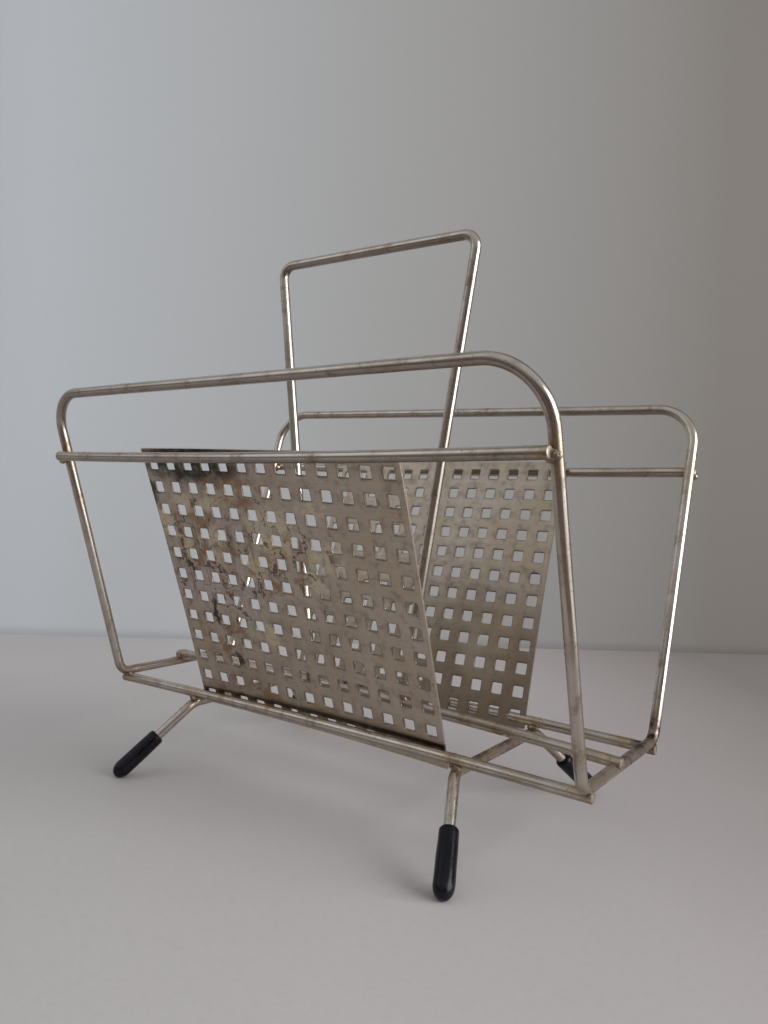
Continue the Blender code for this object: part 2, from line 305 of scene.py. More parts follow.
NICKEL = (0.585, 0.535, 0.475)
NICKEL_WARM = (0.50, 0.425, 0.355)
TARNISH_AND_SHADE = (0.20, 0.162, 0.128)
SOOT = (0.022, 0.017, 0.014)
HEAT_AND_SHADE_TINTS = (
    (0.00, (1.00, 1.00, 1.00)),
    (0.25, (0.92, 0.84, 0.72)),
    (0.45, (0.72, 0.63, 0.57)),
    (0.65, (0.46, 0.40, 0.40)),
    (0.85, (0.22, 0.185, 0.185)),
    (1.00, (0.08, 0.065, 0.065)),
)


def wire_finish():
    """Old nickel plate on brass wire: drawn streaks, tarnish, pits, tints where the welding heated the
    metal, painted shade on the undersides and painted shade along the leg wires under the rack.
    """
    f = Finish("aged_nickel_wire")
    wire = f.place("wire")
    stretched = f.stretched(wire, (1.0, 1.0, 0.025))
    streaks = f.cloud(stretched, 620.0, 3.0, 0.55)
    patina = f.cloud(wire, 60.0, 4.0, 0.55, offset=3.0)
    mottle = f.cloud(wire, 240.0, 2.0, 0.5, offset=7.0)
    worn = f.between(patina, 0.42, 0.66)
    color = f.blend(worn, NICKEL, NICKEL_WARM)
    color = f.blend(f.between(streaks, 0.50, 0.72, 0.0, 0.34), color, TARNISH_AND_SHADE)
    brown = f.times(f.between(mottle, 0.50, 0.70), f.between(patina, 0.42, 0.62, 0.04, 0.50))
    color = f.blend(brown, color, TARNISH_AND_SHADE)
    specks = f.between(f.cloud(wire, 1000.0, 1.0, 0.4, offset=11.0), 0.70, 0.76, 0.0, 0.5)
    color = f.blend(specks, color, SOOT)
    # painted shade: the colour darkens towards brown where the wire faces down
    geometry = f.add("ShaderNodeNewGeometry")
    facing = f.add("ShaderNodeSeparateXYZ", None, Vector=geometry.outputs["Normal"])
    painted_underside_shade = f.between(facing.outputs["Z"], -0.05, -0.65, 0.0, 0.62)
    color = f.blend(painted_underside_shade, color, TARNISH_AND_SHADE)
    heat_and_shade = f.times(f.amount("scorch_and_shade"), f.between(mottle, 0.25, 0.70, 0.60, 1.30))
    color = f.blend(1.0, color, f.ramp(heat_and_shade, HEAT_AND_SHADE_TINTS), "MULTIPLY")
    roughness = f.plus(f.between(patina, 0.30, 0.70, 0.17, 0.27),
                       f.between(mottle, 0.35, 0.70, 0.0, 0.04))
    roughness = f.plus(roughness, f.times(heat_and_shade, 0.25))
    relief = f.plus(f.times(streaks, 0.30), f.times(mottle, 0.50))
    relief = f.minus(relief, f.times(specks, 0.3))
    return f.finish(color, 1.0, roughness, f.bump(relief, 0.00002))


def cut_finish():
    """The bare brass of a sheared wire end, with shear marks and brown dirt."""
    f = Finish("cut_wire_end")
    wire = f.place("wire")
    marks = f.cloud(f.stretched(wire, (1.0, 0.15, 1.0)), 2200.0, 3.0)
    dirt = f.cloud(wire, 900.0, 3.0, 0.6, offset=5.0)
    color = f.blend(f.between(dirt, 0.48, 0.68, 0.0, 0.8), (0.60, 0.52, 0.42), TARNISH_AND_SHADE)
    return f.finish(color, 1.0, f.between(dirt, 0.3, 0.7, 0.30, 0.5), f.bump(marks, 0.00005))


def weld_finish():
    """Weld metal under the plating: grey-brown, with straw and dark patches and a soft skin."""
    f = Finish("plated_weld")
    place = f.place("wire")
    patch = f.cloud(place, 380.0, 4.0, 0.6)
    grain = f.cloud(place, 1500.0, 3.0, 0.6, offset=4.0)
    color = f.ramp(patch, (
        (0.30, (0.12, 0.088, 0.070)),
        (0.46, (0.28, 0.225, 0.175)),
        (0.58, (0.40, 0.34, 0.27)),
        (0.72, (0.50, 0.40, 0.26)),
    ))
    color = f.blend(f.between(grain, 0.58, 0.70, 0.0, 0.6), color, SOOT)
    return f.finish(color, 1.0, f.between(grain, 0.3, 0.7, 0.24, 0.42), f.bump(grain, 0.00006))


def stain_mask(f, place, spots, soft):
    """The union of soft-edged oval stains. A spot is its middle and half sizes, in hole pitches."""
    total = 0.0
    for column, row, half_width, half_height in spots:
        middle = Vector(((column - (HOLE_COLUMNS + 1) / 2) * HOLE_PITCH,
                         (HOLE_ROWS + 0.5 - row) * HOLE_PITCH, 0.0))
        scale = Vector((1 / (half_width * HOLE_PITCH), 1 / (half_height * HOLE_PITCH), 0.0))
        reach = f.vector_math("MULTIPLY_ADD", place, tuple(scale), tuple(-middle * scale))
        spot = f.between(f.vector_math("LENGTH", reach), 1.0, 1.0 - soft)
        total = f.math("MAXIMUM", total, spot)
    return total


PANEL_METAL = (0.465, 0.408, 0.343)
PANEL_METAL_DARK = (0.30, 0.256, 0.211)
PANEL_METAL_WARM = (0.438, 0.364, 0.279)
NEAR_PANEL_PAINTED_LIGHT = (1.13, 1.12, 1.12)
LACQUER = (0.66, 0.57, 0.39)
HAZE = (0.60, 0.555, 0.51)
RUST = (0.33, 0.17, 0.075)
VEIN = (0.12, 0.065, 0.065)

NEAR_LACQUER_SPOTS = (
    (3.0, 2.6, 2.0, 0.45), (0.8, 3.5, 0.5, 0.7), (3.6, 4.4, 0.7, 1.0), (7.0, 3.7, 1.7, 1.4),
    (9.3, 2.6, 1.1, 0.4), (9.3, 4.5, 1.1, 0.85), (8.6, 5.6, 0.8, 0.6), (5.4, 8.4, 0.9, 0.7),
    (5.4, 5.2, 0.9, 0.8), (1.6, 4.6, 0.6, 0.9),
)
NEAR_HAZE_SPOTS = ((4.6, 3.6, 3.6, 1.6), (8.2, 3.6, 2.0, 1.3), (4.0, 6.6, 3.0, 1.8))
NEAR_DARK_SPOTS = (
    (3.3, 0.9, 3.9, 1.1), (1.6, 5.5, 0.22, 0.30), (2.0, 5.7, 0.16, 0.24), (2.6, 7.6, 0.18, 0.9),
    (3.2, 9.9, 0.5, 0.4), (0.5, 2.2, 0.35, 0.8),
)
NEAR_RUST_SPOTS = (
    (3.0, 4.5, 2.8, 2.8), (6.6, 5.2, 2.6, 2.2), (3.0, 9.0, 2.0, 1.8), (5.0, 2.0, 4.5, 1.1),
    (3.4, 11.5, 3.0, 1.0),
)
NEAR_VEIN_SPOTS = ((3.4, 5.4, 4.4, 4.4), (7.5, 4.0, 3.2, 2.6))
FAR_SHEEN_SPOTS = ((10.6, 9.5, 0.85, 1.7),)
FAR_DARK_SPOTS = ((7.1, 2.4, 0.16, 0.16), (12.9, 6.0, 0.16, 0.5))
CONTACT_GRIME_AND_SHADE_RISE = 0.0016     # a line of dirt and painted shade above the rail that the sheet rests on
CONTACT_GRIME_AND_SHADE_REACH = 0.0023


def panel_base(f):
    """The shared look of the rolled, plated sheet: colour, roughness and relief."""
    sheet = f.place("sheet")
    rolled = f.stretched(sheet, (0.05, 1.0, 1.0))
    lines = f.cloud(rolled, 900.0, 3.0, 0.6)
    broad = f.cloud(sheet, 34.0, 4.0, 0.6, offset=2.0)
    mottle = f.cloud(sheet, 210.0, 5.0, 0.65, offset=9.0)
    color = f.blend(f.between(broad, 0.38, 0.64), PANEL_METAL, PANEL_METAL_WARM)
    color = f.blend(f.between(mottle, 0.46, 0.72, 0.0, 0.75), color, PANEL_METAL_DARK)
    color = f.blend(f.between(lines, 0.52, 0.72, 0.0, 0.30), color, PANEL_METAL_DARK)
    rim = f.times(f.amount("rim"), f.between(mottle, 0.35, 0.60, 0.55, 1.0))
    color = f.blend(f.times(rim, 0.80), color, (0.115, 0.090, 0.070))
    return sheet, lines, mottle, color


def contact_grime_and_shade(f, sheet, mottle, color):
    """A dark line along the bottom rail, heaviest towards the right end: grime, and painted shade in
    the crease where the sheet meets the rail.
    """
    split = f.add("ShaderNodeSeparateXYZ", None, Vector=sheet)
    line = f.math("MULTIPLY_ADD", split.outputs["X"], math.sin(NEAR_PANEL_SKEW), split.outputs["Y"])
    away = f.math("ABSOLUTE", f.minus(line, NEAR_PANEL_DROP + CONTACT_GRIME_AND_SHADE_RISE))
    band = f.between(away, CONTACT_GRIME_AND_SHADE_REACH, CONTACT_GRIME_AND_SHADE_REACH * 0.3)
    weight = f.between(split.outputs["X"], -PANEL_HALF_LENGTH, PANEL_HALF_LENGTH, 0.60, 0.86)
    # grime and painted shade in the crease along the rail
    dirt = f.times(f.times(band, weight), f.between(mottle, 0.30, 0.55, 0.65, 1.0))
    return f.blend(dirt, color, (0.048, 0.034, 0.025))


def near_panel_finish():
    """The near panel: yellowed lacquer left in patches, dark stains and brown crazed veins."""
    f = Finish("near_panel_sheet")
    sheet, lines, mottle, color = panel_base(f)
    # painted light: the near panel's sheet colour is made brighter than the far panel's, standing in
    # for more light falling on it
    color = f.blend(1.0, color, NEAR_PANEL_PAINTED_LIGHT, "MULTIPLY")
    warped = f.warped(sheet, 150.0, 4.0, 0.013)

    haze = f.times(stain_mask(f, warped, NEAR_HAZE_SPOTS, 0.6),
                  f.between(f.cloud(warped, 120.0, 4.0, 0.6, offset=21.0), 0.49, 0.56, 0.0, 0.55))
    color = f.blend(haze, color, HAZE)
    rust = f.times(stain_mask(f, warped, NEAR_RUST_SPOTS, 0.7),
                  f.between(f.cloud(warped, 110.0, 4.0, 0.62, offset=6.0), 0.47, 0.60, 0.0, 0.72))
    color = f.blend(rust, color, RUST)
    flakes = f.between(f.cloud(warped, 150.0, 4.0, 0.6, offset=27.0), 0.42, 0.50)
    lacquer = f.times(stain_mask(f, warped, NEAR_LACQUER_SPOTS, 0.45), flakes)
    color = f.blend(f.times(lacquer, 0.72), color, LACQUER)
    winding = f.cloud(warped, 60.0, 3.0, 0.5, offset=13.0)
    vein = f.between(f.math("ABSOLUTE", f.minus(winding, 0.5)), 0.016, 0.005)
    vein = f.times(vein, stain_mask(f, warped, NEAR_VEIN_SPOTS, 0.5))
    color = f.blend(f.times(vein, 0.85), color, VEIN)
    runs = f.cloud(f.stretched(sheet, (1.0, 0.09, 1.0)), 260.0, 3.0, 0.6, offset=17.0)
    runs = f.times(f.between(runs, 0.56, 0.68, 0.0, 0.55), stain_mask(f, warped, NEAR_VEIN_SPOTS, 0.6))
    color = f.blend(runs, color, TARNISH_AND_SHADE)
    dark = f.times(stain_mask(f, warped, NEAR_DARK_SPOTS, 0.55),
                   f.between(mottle, 0.25, 0.55, 0.55, 1.0))
    color = f.blend(f.times(dark, 0.93), color, (0.040, 0.034, 0.020))
    color = contact_grime_and_shade(f, sheet, mottle, color)

    roughness = f.between(mottle, 0.3, 0.7, 0.30, 0.46)
    roughness = f.minus(roughness, f.times(lacquer, 0.08))
    roughness = f.plus(roughness, f.times(dark, 0.12))
    relief = f.plus(f.times(lines, 0.25), f.times(mottle, 0.5))
    relief = f.plus(relief, f.times(lacquer, 0.6))
    metallic = f.minus(1.0, f.times(f.math("MAXIMUM", dark, lacquer), 0.35))
    return f.finish(color, metallic, roughness, f.bump(relief, 0.00009))


def far_panel_finish():
    """The far panel: smoother and cleaner, with a painted sheen patch lighter than the sheet, and a few
    dark specks.
    """
    f = Finish("far_panel_sheet")
    sheet, lines, mottle, color = panel_base(f)
    warped = f.warped(sheet, 90.0, 3.0, 0.014)
    # painted sheen: a lighter patch painted into the colour
    painted_sheen = f.times(stain_mask(f, warped, FAR_SHEEN_SPOTS, 0.8), 0.45)
    color = f.blend(painted_sheen, color, (0.70, 0.62, 0.54))
    dark = stain_mask(f, warped, FAR_DARK_SPOTS, 0.6)
    color = f.blend(f.times(dark, 0.8), color, SOOT)
    relief = f.plus(f.times(lines, 0.3), f.times(mottle, 0.5))
    return f.finish(color, 1.0, f.between(mottle, 0.3, 0.7, 0.30, 0.44), f.bump(relief, 0.00007))


RUBBER_BLACK = (0.0030, 0.0028, 0.0050)
RUBBER_BLOOM = (0.0070, 0.0066, 0.0130)


def rubber_finish():
    """Black dipped rubber: faint bluish bloom and fine scuffs."""
    f = Finish("black_rubber")
    cap = f.place("wire")
    bloom = f.cloud(cap, 160.0, 4.0, 0.6)
    grain = f.cloud(cap, 1400.0, 3.0, 0.6, offset=5.0)
    scuffs = f.cloud(f.stretched(cap, (1.0, 1.0, 0.12)), 1500.0, 3.0, 0.6, offset=8.0)
    color = f.blend(f.between(bloom, 0.40, 0.68, 0.0, 0.8), RUBBER_BLACK, RUBBER_BLOOM)
    color = f.blend(f.between(scuffs, 0.64, 0.76, 0.0, 0.35), color, (0.050, 0.048, 0.047))
    roughness = f.plus(f.between(bloom, 0.3, 0.7, 0.16, 0.26), f.between(grain, 0.4, 0.7, 0.0, 0.06))
    relief = f.plus(f.times(grain, 0.4), f.times(bloom, 1.2))
    return f.finish(color, 0.0, roughness, f.bump(relief, 0.00007), Specular_IOR_Level=0.24)


# ---- paths ------------------------------------------------------------------------------
def rounded_corner(before, corner, after, radius):
    """Points of the arc that joins two straight runs meeting at a corner."""
    to_before = (before - corner).normalized()
    to_after = (after - corner).normalized()
    half_angle = to_before.angle(to_after) / 2
    setback = radius / math.tan(half_angle)
    centre = corner + (to_before + to_after).normalized() * (radius / math.sin(half_angle))
    start = corner + to_before * setback - centre
    axis = start.cross(corner + to_after * setback - centre).normalized()
    sweep = math.pi - 2 * half_angle
    points = []
    for step in range(CORNER_STEPS):
        turn = Matrix.Rotation(sweep * step / (CORNER_STEPS - 1), 3, axis)
        points.append(centre + turn @ start)
    return points


def rounded_path(corners, radii, closed=False):
    """A wire's path: its corners, each rounded by its own radius. A radius of 0 keeps the point."""
    points = []
    count = len(corners)
    for index, corner in enumerate(corners):
        if radii[index] == 0.0 or (not closed and index in (0, count - 1)):
            points.append(corner)
            continue
        following = corners[(index + 1) % count]
        points.extend(rounded_corner(corners[index - 1], corner, following, radii[index]))
    return points


def with_stations(points, closed=False):
    """The same path with extra points, so that no step is longer than a station."""
    dense = []
    count = len(points)
    for index in range(count if closed else count - 1):
        start, end = points[index], points[(index + 1) % count]
        steps = max(1, math.ceil((end - start).length / WIRE_STATION))
        dense.extend(start.lerp(end, step / steps) for step in range(steps))
    if not closed:
        dense.append(points[-1])
    return dense


def hand_bent(points, seed):
    """The path with the slight wander of a wire that was bent and straightened by hand."""
    shift = Vector((seed * 1.7, seed * 2.3, seed * 3.1))
    return [p + noise.noise_vector(p * WIRE_WANDER_SCALE + shift) * WIRE_WANDER for p in points]


def hoop_y(z):
    """Distance of a side hoop's wire from the middle plane, at height z."""
    return FRAME_HALF_WIDTH + LEAN_SLOPE * (z - CROSS_Z)


def cross_z(side_x):
    """Height of the axis of a cross piece of the frame."""
    return CROSS_Z - CROSS_SINK[0 if side_x < 0 else 1]


def low_corner(side_x, side_y):
    z = cross_z(side_x)
    return Vector((side_x * FRAME_HALF_LENGTH, side_y * hoop_y(z), z))


def top_corner(side_x, side_y, z):
    return Vector((side_x * FRAME_HALF_LENGTH_TOP, side_y * hoop_y(z), z))


def frame_path():
    """The closed loop, from the middle of the left cross piece round the near hoop first."""
    corners = [
        Vector((-FRAME_HALF_LENGTH, CENTRE_RAIL_Y[0], cross_z(-1))),
        low_corner(-1, -1),
        top_corner(-1, -1, NEAR_TOP_Z[0]),
        top_corner(1, -1, NEAR_TOP_Z[1]),
        low_corner(1, -1),
        low_corner(1, 1),
        top_corner(1, 1, FAR_TOP_Z[1]),
        top_corner(-1, 1, FAR_TOP_Z[0]),
        low_corner(-1, 1),
    ]
    radii = [0.0, BOTTOM_CORNER_R, *NEAR_TOP_CORNER_R, BOTTOM_CORNER_R,
             BOTTOM_CORNER_R, *reversed(FAR_TOP_CORNER_R), BOTTOM_CORNER_R]
    return rounded_path(corners, radii, closed=True)


def bowed_line(start, end, rise, steps=24):
    """A straight wire that is bowed by a small rise at mid-span."""
    points = []
    for step in range(steps + 1):
        t = step / steps
        points.append(start.lerp(end, t) + Vector((0.0, 0.0, rise * 4 * t * (1 - t))))
    return points


def bottom_rail_z(x):
    u = x / BOTTOM_RAIL_HALF_LENGTH
    return BOTTOM_RAIL_Z + BOTTOM_RAIL_RISE * (1 - u * u)


def centre_rail_point(x):
    t = (x / BOTTOM_RAIL_HALF_LENGTH + 1) / 2
    y = CENTRE_RAIL_Y[0] + (CENTRE_RAIL_Y[1] - CENTRE_RAIL_Y[0]) * t
    z = CENTRE_RAIL_Z[0] + (CENTRE_RAIL_Z[1] - CENTRE_RAIL_Z[0]) * t
    z += CENTRE_RAIL_RISE * 4 * t * (1 - t)
    droop = max(0.0, (RAIL_DROOP_LENGTH - BOTTOM_RAIL_HALF_LENGTH - x) / RAIL_DROOP_LENGTH)
    return Vector((x, y, z - RAIL_END_DROOP * droop * droop))


def centre_rail_path(steps=60):
    step_x = 2 * BOTTOM_RAIL_HALF_LENGTH / steps
    return [centre_rail_point(-BOTTOM_RAIL_HALF_LENGTH + step_x * step) for step in range(steps + 1)]


def upper_rail_y(z):
    """Distance of an upper rail from the middle plane, outside the hoop at height z."""
    return hoop_y(z) + WIRE_STEP / math.cos(HOOP_LEAN)


def upper_rail_ends(side):
    x_ends, z_ends = (NEAR_RAIL_X, NEAR_RAIL_Z) if side < 0 else (FAR_RAIL_X, FAR_RAIL_Z)
    return [Vector((x, side * upper_rail_y(z), z)) for x, z in zip(x_ends, z_ends)]


UPPER_RAIL_Y = upper_rail_y(UPPER_RAIL_Z)
LEG_Z = bottom_rail_z(LEG_X) - WIRE_STEP
CAP_TIP_Z = CAP_R - CAP_WORN_FLAT


def handle_foot(side_x):
    z = centre_rail_point(side_x * HANDLE_HALF_FOOT).z + WIRE_R - HANDLE_SINK
    return Vector((side_x * HANDLE_HALF_FOOT, HANDLE_FOOT_Y, z))


def handle_path():
    corners = [
        handle_foot(-1),
        Vector((-HANDLE_HALF_TOP, 0.0, HANDLE_TOP_Z)),
        Vector((HANDLE_HALF_TOP, 0.0, HANDLE_TOP_Z)),
        handle_foot(1),
    ]
    return rounded_path(corners, [0.0, HANDLE_CORNER_R, HANDLE_CORNER_R, 0.0])


def foot_top(side_x, side_y):
    return Vector((side_x * LEG_X, side_y * LEG_BEND_Y, LEG_Z))


def foot_tip(side_x, side_y):
    return Vector((side_x * (LEG_X + LEG_SPLAY_X), side_y * (LEG_BEND_Y + LEG_SPLAY_Y), CAP_TIP_Z))


def leg_path(side_x):
    ends = []
    for side_y in (-1, 1):
        tip = foot_tip(side_x, side_y)
        upward = (foot_top(side_x, side_y) - tip).normalized()
        ends.append(tip + upward * (CAP_END_WALL - CAP_R + 2 * WELD_GAP))
    corners = [ends[0], foot_top(side_x, -1), foot_top(side_x, 1), ends[1]]
    return rounded_path(corners, [0.0, LEG_BEND_R, LEG_BEND_R, 0.0])


# ---- welds ------------------------------------------------------------------------------
ALONG_X = Vector((1.0, 0.0, 0.0))
UP = Vector((0.0, 0.0, 1.0))

KNOB_OUT = 0.0018              # a knob of weld metal closes the end of each upper rail
KNOB_DOWN = 0.0014
KNOB_SIZE = 0.72
LEG_WELD_SIZE = 1.05
HANDLE_WELD_SIZE = 0.95


def weld_places():
    """Each weld: where two wires touch, the way the joint faces, and its size."""
    welds = []
    for side_x in (-1, 1):
        end_x = side_x * FRAME_HALF_LENGTH
        for side_y in (-1, 1):
            outward = Vector((0.0, side_y * math.cos(HOOP_LEAN), -math.sin(HOOP_LEAN)))
            leg_x = side_x * (FRAME_HALF_LENGTH + FRAME_HALF_LENGTH_TOP) / 2
            rail_z = (NEAR_RAIL_Z if side_y < 0 else FAR_RAIL_Z)[0 if side_x < 0 else 1]
            on_leg = Vector((leg_x, side_y * hoop_y(rail_z), rail_z))
            welds.append((on_leg + outward * WIRE_STEP / 2, outward, 1.0))
            blob = Vector((side_x * KNOB_OUT, 0.0, -KNOB_DOWN if side_x * side_y > 0 else 0.0))
            welds.append((on_leg + outward * WIRE_STEP * 0.6 + blob, outward, KNOB_SIZE))
            joint_z = (cross_z(side_x) + bottom_rail_z(end_x)) / 2
            welds.append((Vector((end_x, side_y * BOTTOM_RAIL_Y, joint_z)), UP, 1.0))
            leg_weld = Vector((side_x * LEG_X, side_y * BOTTOM_RAIL_Y, LEG_Z + WIRE_STEP / 2))
            welds.append((leg_weld, UP, LEG_WELD_SIZE))
        rail_end = centre_rail_point(end_x)
        rail_end.z = (rail_end.z + cross_z(side_x)) / 2
        welds.append((rail_end, UP, 1.0))
        welds.append((handle_foot(side_x), UP, HANDLE_WELD_SIZE))
    return welds


WELDS = weld_places()
SCORCH_REACH = 0.0065
JOINT_HEAT = 0.5
# Heat marks away from the joints, and painted shade along the middle of the leg wires under the rack:
# middle, reach and strength.
EXTRA_SCORCH_AND_SHADE = (
    (Vector((FRAME_HALF_LENGTH, 0.002, CROSS_Z)), 0.013, 0.72),
    (Vector((FRAME_HALF_LENGTH, 0.024, CROSS_Z)), 0.014, 0.80),
    (Vector((FRAME_HALF_LENGTH, 0.044, CROSS_Z)), 0.011, 0.97),
    # painted shade: these three darken the leg wires where they run under the rack
    (Vector((LEG_X, -0.020, LEG_Z)), 0.016, 0.55),
    (Vector((LEG_X, 0.008, LEG_Z)), 0.016, 0.60),
    (Vector((-LEG_X, 0.0, LEG_Z)), 0.020, 0.45),
)


def scorch_and_shade_at(point):
    """How burnt the metal is at a point, with the painted shade on the leg wires added in, from 0 to 1.
    """
    heat_and_shade = 0.0
    for place, _, size in WELDS:
        reach = (point - place).length / (SCORCH_REACH * size)
        heat_and_shade = max(heat_and_shade, JOINT_HEAT * math.exp(-reach * reach))
    for place, spread, burn_and_shade in EXTRA_SCORCH_AND_SHADE:
        reach = (point - place).length / spread
        heat_and_shade = max(heat_and_shade, burn_and_shade * math.exp(-reach * reach))
    return heat_and_shade


# ---- meshes -----------------------------------------------------------------------------
def add_object(name, data):
    added = bpy.data.objects.new(name, data)
    bpy.context.scene.collection.objects.link(added)
    return added


def make_piece(name, vertices, faces, materials, replaced=None, sharp=math.radians(40),
               tolerance=FIT_TOLERANCE):
    mesh = bpy.data.meshes.new(name)
    mesh.from_pydata([tuple(v) for v in vertices], [], faces)
    mesh.validate()
    for material in materials:
        mesh.materials.append(material)
    mesh.shade_smooth()
    mesh.set_sharp_from_angle(angle=sharp)
    piece = add_object(name, mesh)
    if replaced is not None:
        check_fit(piece, replaced, tolerance)
        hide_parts(replaced)
    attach(piece, "root")
    return piece


def check_fit(piece, node, tolerance):
    """Stops the script if a piece has drifted from the CAD node that it stands for."""
    low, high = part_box(node)
    points = [v.co for v in piece.data.vertices]
    for axis in range(3):
        gaps = (min(p[axis] for p in points) - low[axis], max(p[axis] for p in points) - high[axis])
        if max(abs(gaps[0]), abs(gaps[1])) > tolerance:
            raise ValueError(f"{piece.name} is off its CAD node along axis {axis} by {gaps}")


def store_vectors(mesh, name, corner_values):
    attribute = mesh.attributes.new(name, "FLOAT_VECTOR", "CORNER")
    flat = [number for value in corner_values for number in value]
    attribute.data.foreach_set("vector", flat)


def store_amounts(mesh, name, values):
    attribute = mesh.attributes.new(name, "FLOAT", "POINT")
    attribute.data.foreach_set("value", values)


def path_tangents(points, closed):
    count = len(points)
    tangents = []
    for index in range(count):
        before = points[index - 1] if closed or index > 0 else points[0]
        after = points[(index + 1) % count] if closed or index < count - 1 else points[-1]
        tangents.append((after - before).normalized())
    return tangents


def transported_normals(points, tangents, closed):
    """A normal for each point that turns as little as possible along the path."""
    reference = UP if abs(tangents[0].z) < 0.9 else ALONG_X
    normal = (reference - tangents[0] * reference.dot(tangents[0])).normalized()
    normals = []
    for tangent in tangents:
        normal = (normal - tangent * normal.dot(tangent)).normalized()
        normals.append(normal.copy())
    if closed:
        last = (normals[-1] - tangents[0] * normals[-1].dot(tangents[0])).normalized()
        twist = math.atan2(last.cross(normals[0]).dot(tangents[0]), last.dot(normals[0]))
        for index, tangent in enumerate(tangents):
            share = twist * index / len(points)
            normals[index] = Matrix.Rotation(share, 3, tangent) @ normals[index]
    return normals


def end_stations(point, inward):
    """Rings of a sheared wire end: where each is and how much smaller it is than the wire."""
    return [(point + inward * distance, lost) for distance, lost in CUT_CHAMFER]


def make_wire(name, path, seed, closed=False):
    """A drawn round wire along a path. Open ends are cut square with a small chamfer."""
    points = hand_bent(with_stations(path, closed), seed)
    lost = [0.0] * len(points)
    if not closed:
        start = end_stations(points[0], (points[1] - points[0]).normalized())
        finish = end_stations(points[-1], (points[-2] - points[-1]).normalized())
        points = [p for p, _ in start] + points[1:-1] + [p for p, _ in reversed(finish)]
        lost = [r for _, r in start] + lost[1:-1] + [r for _, r in reversed(finish)]
    tangents = path_tangents(points, closed)
    normals = transported_normals(points, tangents, closed)

    vertices, unrolled = [], []
    length = 0.0
    lengths = [0.0]
    for index in range(1, len(points)):
        length += (points[index] - points[index - 1]).length
        lengths.append(length)
    total = length + ((points[0] - points[-1]).length if closed else 0.0)
    for index, point in enumerate(points):
        side = tangents[index].cross(normals[index])
        swell = 1.0 + WIRE_SWELL * noise.noise(point * WIRE_SWELL_SCALE + Vector((seed, 0.0, 0.0)))
        radius = WIRE_R * swell - lost[index]
        for step in range(WIRE_SIDES):
            angle = 2 * math.pi * step / WIRE_SIDES
            around = normals[index] * math.cos(angle) + side * math.sin(angle)
            vertices.append(point + around * radius)
            unrolled.append((math.cos(angle) * radius + seed, math.sin(angle) * radius,
                             lengths[index]))

    faces, corner_values = [], []
    rings = len(points)
    for index in range(rings if closed else rings - 1):
        after = (index + 1) % rings
        for step in range(WIRE_SIDES):
            turn = (step + 1) % WIRE_SIDES
            face = (index * WIRE_SIDES + step, index * WIRE_SIDES + turn,
                    after * WIRE_SIDES + turn, after * WIRE_SIDES + step)
            faces.append(face)
            for vertex in face:
                x, y, z = unrolled[vertex]
                wraps = closed and after == 0 and vertex < WIRE_SIDES
                corner_values.append((x, y, total if wraps else z))
    tube_faces = len(faces)
    if not closed:
        last_ring = (rings - 1) * WIRE_SIDES
        faces.append(tuple(reversed(range(WIRE_SIDES))))
        faces.append(tuple(range(last_ring, last_ring + WIRE_SIDES)))
        for face in faces[-2:]:
            corner_values.extend(unrolled[vertex] for vertex in face)

    piece = make_piece(name, vertices, faces, [WIRE, CUT], replaced=name)
    for polygon in piece.data.polygons[tube_faces:]:
        polygon.material_index = 1
    store_vectors(piece.data, "wire", corner_values)
    store_amounts(piece.data, "scorch_and_shade", [scorch_and_shade_at(v) for v in vertices])
    return piece


WELD_HALF_SIZES = (0.0031, 0.0030, 0.0021)   # along X, across, and through the joint
BEAD_LUMP, BEAD_LUMP_SCALE = 0.22, 1.9
BEAD_GRAIN, BEAD_GRAIN_SCALE = 0.07, 5.0


def joined_rings(rings, count):
    """The faces between rings of vertices. A ring of one vertex is a pole."""
    faces = []
    for lower, upper in zip(rings, rings[1:]):
        for step in range(count):
            turn = (step + 1) % count
            if len(lower) == 1:
                faces.append((lower[0], upper[step], upper[turn]))
            elif len(upper) == 1:
                faces.append((lower[step], upper[0], lower[turn]))
            else:
                faces.append((lower[step], upper[step], upper[turn], lower[turn]))
    return faces


def lumpy_ball(centre, facing, along, half_sizes, seed, rings=12, segments=20):
    """A closed, uneven blob: rings from pole to pole, with the poles along its facing."""
    across = facing.cross(along).normalized()
    along = across.cross(facing).normalized()
    vertices, loops = [], []
    for ring in range(rings + 1):
        polar = math.pi * ring / rings
        steps = 1 if ring in (0, rings) else segments
        loops.append(range(len(vertices), len(vertices) + steps))
        for step in range(steps):
            angle = 2 * math.pi * step / segments
            way = Vector((math.sin(polar) * math.cos(angle), math.sin(polar) * math.sin(angle),
                          math.cos(polar)))
            broad_shift = Vector((seed * 5.3, seed * 1.9, seed))
            fine_shift = Vector((seed, seed * 4.1, 0.0))
            lump = 1.0 + BEAD_LUMP * noise.noise(way * BEAD_LUMP_SCALE + broad_shift)
            lump += BEAD_GRAIN * noise.noise(way * BEAD_GRAIN_SCALE + fine_shift)
            local = Vector((way.x * half_sizes[0], way.y * half_sizes[1], way.z * half_sizes[2])) * lump
            vertices.append(centre + along * local.x + across * local.y + facing * local.z)
    return vertices, joined_rings(loops, segments)


def make_welds(name):
    """All the weld beads: flash squeezed out between two crossing wires."""
    vertices, faces = [], []
    for index, (place, facing, size) in enumerate(WELDS):
        sizes = [half * size for half in WELD_HALF_SIZES]
        ball, ball_faces = lumpy_ball(place, facing, ALONG_X, sizes, index + 1.0)
        first = len(vertices)
        vertices.extend(ball)
        faces.extend(tuple(first + vertex for vertex in face) for face in ball_faces)
    piece = make_piece(name, vertices, faces, [WELD])
    store_vectors(piece.data, "wire", [tuple(vertices[v]) for face in faces for v in face])
    return piece


